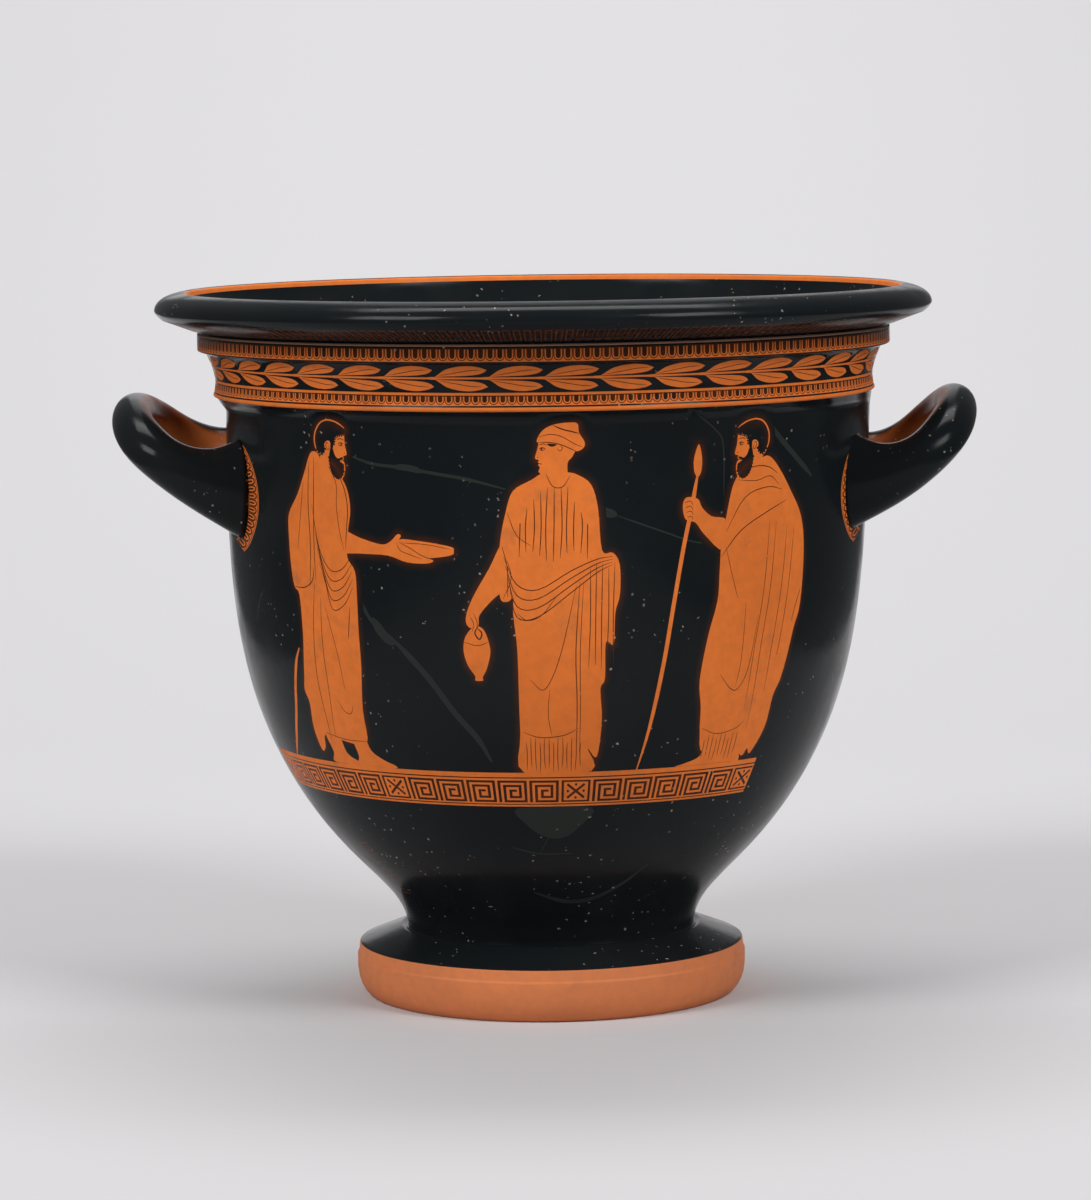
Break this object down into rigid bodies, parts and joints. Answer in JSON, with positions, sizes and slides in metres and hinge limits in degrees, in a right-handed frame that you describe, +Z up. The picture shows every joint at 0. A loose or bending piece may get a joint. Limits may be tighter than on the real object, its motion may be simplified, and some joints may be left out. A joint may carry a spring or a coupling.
{
  "type": "bell krater",
  "caption": "Greek red-figure bell krater: a deep fired-clay mixing bowl with a rolled lip, moulded neck, loop handles at the sides and a hollow disc foot",
  "frame": {"origin": "centre of the resting ring under the foot, on the surface the krater stands on", "axes": "+Z up, the two handles along +X and -X, the front picture toward -Y"},
  "size_m": [0.4978, 0.4488, 0.411],
  "materials": {
    "fired_clay": "glossy black slip over orange clay, with the figures and patterns left in the clay colour"
  },
  "bodies": {
    "root": {"krater": "fired_clay"}
  },
  "joints": []
}
